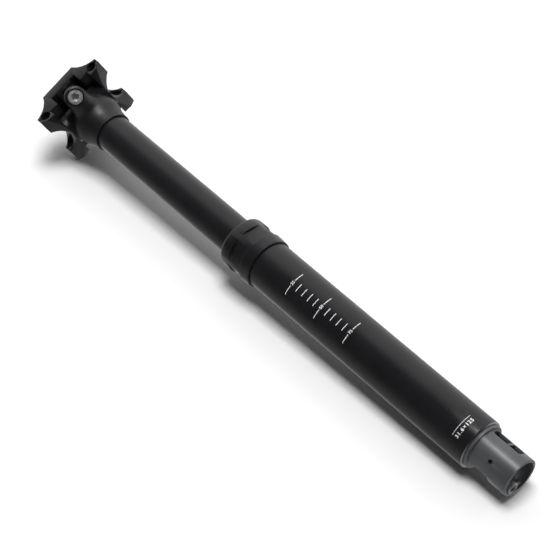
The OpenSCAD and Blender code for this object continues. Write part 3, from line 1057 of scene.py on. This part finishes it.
def tick_tree(steps: int = 24) -> bpy.types.NodeTree:
    """Makes a node tree that sets a curved tick at every point of a mesh.

    Args:
        steps: points along a tick.

    Returns:
        The tree, made at the first call.
    """
    known = bpy.data.node_groups.get("curved_ticks")
    if known:
        return known
    tree = bpy.data.node_groups.new("curved_ticks", "GeometryNodeTree")
    sides = tree.interface
    sides.new_socket("Geometry", in_out="INPUT", socket_type="NodeSocketGeometry")
    for name in ("Arc", "Stroke", "Shift", "Radius"):
        sides.new_socket(name, in_out="INPUT", socket_type="NodeSocketFloat")
    sides.new_socket("Geometry", in_out="OUTPUT", socket_type="NodeSocketGeometry")
    graph = Graph(tree)
    start = graph.node("NodeGroupInput")
    patch = graph.node("GeometryNodeMeshGrid")
    patch.inputs["Vertices X"].default_value = steps
    patch.inputs["Vertices Y"].default_value = 2
    graph.link(start.outputs["Arc"], patch.inputs["Size X"])
    graph.link(start.outputs["Stroke"], patch.inputs["Size Y"])
    points = graph.node("GeometryNodeMeshToPoints")
    graph.link(start.outputs["Geometry"], points.inputs["Mesh"])
    copies = graph.node("GeometryNodeInstanceOnPoints")
    copies.inputs["Rotation"].default_value = (math.pi / 2, 0, 0)
    graph.link(points.outputs["Points"], copies.inputs["Points"])
    graph.link(patch.outputs["Mesh"], copies.inputs["Instance"])
    real = graph.node("GeometryNodeRealizeInstances")
    graph.link(copies.outputs["Instances"], real.inputs["Geometry"])
    placed = graph.node("GeometryNodeSetPosition")
    graph.link(real.outputs["Geometry"], placed.inputs["Geometry"])
    graph.link(round_tube(graph, start), placed.inputs["Position"])
    coloured = graph.node("GeometryNodeSetMaterial")
    coloured.inputs["Material"].default_value = INK.material()
    graph.link(placed.outputs["Geometry"], coloured.inputs["Geometry"])
    end = graph.node("NodeGroupOutput")
    graph.link(coloured.outputs["Geometry"], end.inputs["Geometry"])
    return tree


def round_tube(graph: Graph, start: bpy.types.Node) -> Socket:
    """Adds the bending of a flat tick round the tube.

    Args:
        graph: tree of the ticks.
        start: input node with the shift and the radius.

    Returns:
        The socket of each point's place on the tube.
    """
    radius = start.outputs["Radius"]
    where = graph.node("GeometryNodeInputPosition")
    split = graph.node("ShaderNodeSeparateXYZ")
    graph.link(where.outputs["Position"], split.inputs[0])
    turn = graph.calc("DIVIDE", graph.calc("ADD", split.outputs["X"], start.outputs["Shift"]), radius)
    bent = graph.node("ShaderNodeCombineXYZ")
    for operation, axis, sign in (("SINE", "X", 1.0), ("COSINE", "Y", -1.0)):
        reach = graph.calc("MULTIPLY", graph.calc(operation, turn), radius)
        graph.link(graph.calc("MULTIPLY", reach, sign), bent.inputs[axis])
    graph.link(split.outputs["Z"], bent.inputs["Z"])
    return bent.outputs[0]


@dataclass
class Stanchion:
    """Sliding tube and the forged head on it, in millimetres and degrees."""

    radius: float = 12.5
    bore: float = 10.8
    foot: float = -42.0
    flange_radius: float = 13.8
    flange_height: float = 2.0
    tube_edge: float = 0.25
    seam: float = 155.5
    lip_size: float = 0.45
    lip_arc: Span = (-120.0, 30.0)
    lip_steps: int = 10
    lip_smooth: float = 60.0
    skirt_radius: float = 13.5
    skirt_inset: float = 0.3
    skirt_root: float = 8.0
    skirt_rise: float = 2.0
    flare_start: float = 1.0
    flare_drop: float = 8.5
    flare: float = 1.0
    bulb_radius: float = 16.6
    bulb_height: float = 172.5
    bulb_rings: int = 64
    tilt_height: float = 184.8
    trough_radius: float = 12.3
    bolt_lean: float = 50.0
    bolt_arm: float = 11.45
    bolt_reach: float = 23.4
    bolt_edge: float = 0.3
    ear_radius: float = 7.0
    ear_length: float = 11.5
    ear_below: float = 1.5
    ear_above: float = 1.0
    ear_top: float = 2.0
    web_start: float = 2.0
    web_rise: float = 1.0
    web_inset: float = 0.3
    web_radius: float = 12.0
    counterbore: float = 5.65
    seat_depth: float = 7.0
    bolt_hole: float = 3.3
    cut_below: float = 20.0
    cut_above: float = 30.0
    cut_reach: float = 60.0
    trough_reach: float = 40.0
    gap_rise: float = 20.0
    voxel: float = 0.5
    swell: float = 0.6
    blend_factor: float = 0.5
    blend_steps: int = 150
    head_smooth: float = 32.0

    def build(self) -> None:
        """Makes the tube, the head, its polished edge and the bolts."""
        tube = lathe("stanchion_skin", self._skin())
        dress(tube, SLIDE_BLACK, Body.STANCHION, Slot.BLACK, "stanchion_tube")
        dress(self._head(), FORGED_BLACK, Body.STANCHION, Slot.BLACK, "head")
        dress(self._seam_lip(), LIP_BLACK, Body.STANCHION, Slot.BLACK)
        bolts = softened("bolt_set", "clamp_bolts", self.bolt_edge)
        dress(bolts, BOLT_ZINC, Body.STANCHION, Slot.STEEL, "clamp_bolts")

    def _skin(self) -> Profile:
        """Draws the sliding tube's wall, with the flange at its foot.

        Returns:
            The corners of the wall.
        """
        return [
            (self.bore, self.foot),
            (self.flange_radius, self.foot),
            (self.flange_radius, self.foot + self.flange_height),
            (self.radius, self.foot + self.flange_height),
            (self.radius, self.seam - self.tube_edge),
            (self.radius - self.tube_edge, self.seam),
            (self.bore, self.seam),
        ]

    def _seam_lip(self) -> Piece:
        """Makes the polished rounding of the head's lower edge.

        Returns:
            The rounding as a thin ring.
        """
        size = self.lip_size
        inner = self.skirt_radius - 2 * size
        start, end = (math.radians(angle) for angle in self.lip_arc)
        turns = [start + (end - start) * k / self.lip_steps for k in range(self.lip_steps + 1)]
        middle = (self.skirt_radius - size, self.seam + size)
        outer = [(middle[0] + size * math.cos(a), middle[1] + size * math.sin(a)) for a in turns]
        profile = [*outer, (inner, self.seam + 2 * size), (inner, self.seam)]
        return lathe("seam_lip", profile, angle=self.lip_smooth)

    def _bolt(self, side: int) -> Matrix:
        """Finds a bolt's place.

        Args:
            side: -1 for the front bolt and 1 for the rear one.

        Returns:
            The bolt's frame, with Z up the bolt from its outer face.
        """
        lean = math.radians(self.bolt_lean)
        rise = self.tilt_height + self.bolt_arm * math.sin(lean)
        nut = Matrix.Translation((0, -self.bolt_arm * math.cos(lean), rise))
        turn = Matrix.Rotation(math.pi if side > 0 else 0, 4, "Z")
        back = Matrix.Translation((0, 0, -self.bolt_reach))
        return turn @ nut @ Matrix.Rotation(-lean, 4, "X") @ back

    def _head(self) -> Piece:
        """Makes the forged head: a blended bulb with its ears, then the machined cuts.

        Returns:
            The head.
        """
        head = from_mm("head_forging", self._forging())
        union = head.modifiers.new("union", "REMESH")
        union.mode = "VOXEL"
        union.voxel_size = self.voxel * MM
        blend = head.modifiers.new("blend", "SMOOTH")
        blend.factor = self.blend_factor
        blend.iterations = self.blend_steps
        settle(head)
        cutters = self._head_cutters()
        for cutter in cutters:
            cut = head.modifiers.new("cut", "BOOLEAN")
            cut.operation = "DIFFERENCE"
            cut.solver = "EXACT"
            cut.object = cutter
        settle(head)
        discard(*cutters)
        smooth(head, self.head_smooth)
        return head

    def _forging(self) -> Shape:
        """Gathers the head's plain forms, swollen by what the blending takes off.

        Returns:
            The bulb, skirt, ears and webs, which overlap.
        """
        shape = bmesh.new()
        bulb = self.bulb_radius + self.swell
        skirt = self.skirt_radius - self.skirt_inset + self.swell
        ear = self.ear_radius + self.swell
        middle = Vector((0, 0, self.bulb_height))
        bmesh.ops.create_uvsphere(
            shape, u_segments=ROUND_STEPS, v_segments=self.bulb_rings, radius=bulb,
            matrix=Matrix.Translation(middle),
        )
        root, rise, flare_low = (
            Vector((0, 0, self.seam + z)) for z in (-self.skirt_root, self.skirt_rise, self.flare_start)
        )
        add_cone(shape, root, rise, skirt, skirt)
        flare_high = middle - Vector((0, 0, self.flare_drop))
        add_cone(shape, flare_low, flare_high, skirt, skirt + self.flare)
        web_end = middle + Vector((0, 0, self.web_rise))
        for side in (-1, 1):
            bolt = self._bolt(side)
            low, high, web = (
                bolt @ Vector((0, 0, z))
                for z in (-self.ear_below, self.ear_above + self.ear_length, self.web_start)
            )
            add_cone(shape, low, high, ear, ear)
            add_cone(shape, web, web_end, ear - self.web_inset, self.web_radius)
        return shape

    def _head_cutters(self) -> list[Piece]:
        """Makes the trough, the flat over the ears, the clamp's gap, the base and the bolts' holes.

        Returns:
            The cutters, in the order in which they cut.
        """
        axis = Vector((0, 0, self.tilt_height))
        wide = Vector((self.trough_reach, 0, 0))
        far, half_gap = self.cut_reach, self.trough_radius
        flat, gap_top = self.tilt_height + self.ear_top, self.tilt_height + self.gap_rise
        cutters = [
            rod("trough", axis - wide, axis + wide, self.trough_radius),
            block("flat", (-far, -far, flat), (far, far, flat + far)),
            block("gap", (-far, -half_gap, self.tilt_height), (far, half_gap, gap_top)),
            block("base", (-far, -far, self.seam - far), (far, far, self.seam)),
        ]
        for side in (-1, 1):
            bolt = self._bolt(side)
            mouth, seat, end = (
                bolt @ Vector((0, 0, z)) for z in (-self.cut_below, self.seat_depth, self.cut_above)
            )
            cutters.append(rod("counterbore", mouth, seat, self.counterbore))
            cutters.append(rod("bolt_hole", mouth, end, self.bolt_hole))
        return cutters


@dataclass
class SaddleClamp:
    """Tilting cradle and upper clamp that hold the rails, in millimetres."""

    edge: float = 0.6
    edge_steps: int = 3

    def build(self) -> None:
        """Makes both halves of the clamp."""
        for name, node in (("cradle_body", "lower_cradle"), ("clamp_crown", "upper_clamp")):
            half = softened(name, node, self.edge, self.edge_steps)
            dress(half, CLAMP_BLACK, Body.CLAMP, Slot.BLACK, node)


@dataclass
class CableFoot:
    """Grey sleeve at the foot, with the cable stop, the lever and its spring.

    Attributes:
        edge: rounding of the sleeve and the stop in millimetres.
        lever_edge: rounding of the lever in millimetres.
        wire_edge: rounding of the spring's ends in millimetres.
        wire_angle: least angle of an edge of the spring that is rounded, in degrees.
        wire_smooth: largest angle of the spring's wire that is shaded smooth, in degrees.
        spring_seat: height of the spring's fixed end in metres; not used.
        valve_lift: travel of the valve in metres, by which the spring shortens; not used.
    """

    edge: float = 0.3
    lever_edge: float = 0.2
    wire_edge: float = 0.05
    wire_angle: float = 80.0
    wire_smooth: float = 75.0
    spring_seat: float = -0.179
    valve_lift: float = 0.0014115

    def build(self) -> None:
        """Makes the sleeve, the stop, the lever and its return spring."""
        sleeve = softened("sleeve_body", "actuator_sleeve", self.edge)
        dress(sleeve, SLEEVE_GREY, Body.OUTER, Slot.GREY, "actuator_sleeve")
        stop = softened("stop_body", "cable_stop", self.edge)
        dress(stop, STOP_GREY_PAINTED_LIGHT, Body.OUTER, Slot.GREY, "cable_stop")
        lever = softened("lever_body", "release_lever", self.lever_edge)
        dress(lever, LEVER_STEEL, Body.LEVER, Slot.STEEL, "release_lever")
        self._spring()

    def _spring(self) -> None:
        """Makes the return spring."""
        spring = softened("spring_coil", "return_spring", self.wire_edge, 1, self.wire_angle)
        smooth(spring, self.wire_smooth)
        dress(spring, STEEL, Body.OUTER, Slot.STEEL, "return_spring")
        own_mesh(spring)


def dress_solids() -> None:
    """Gives every solid that stays its slot's finish."""
    for part in frame["record"]["subparts"]:
        solid = frame["nodes"][part["node"]]
        finish = NODE_FINISH.get(part["node"], SLOT_FINISH[Slot(part["material_slot"])])
        solid.data.materials.clear()
        solid.data.materials.append(finish.material())


def main() -> None:
    """Builds the studio and dresses the part, one sub-assembly at a time."""
    logging.basicConfig(level=logging.INFO, format="%(name)s: %(message)s")
    Studio().build()
    dress_solids()
    for group in (OuterTube(), PrintedScale(), Stanchion(), SaddleClamp(), CableFoot()):
        group.build()


if __name__ == "__main__":
    main()
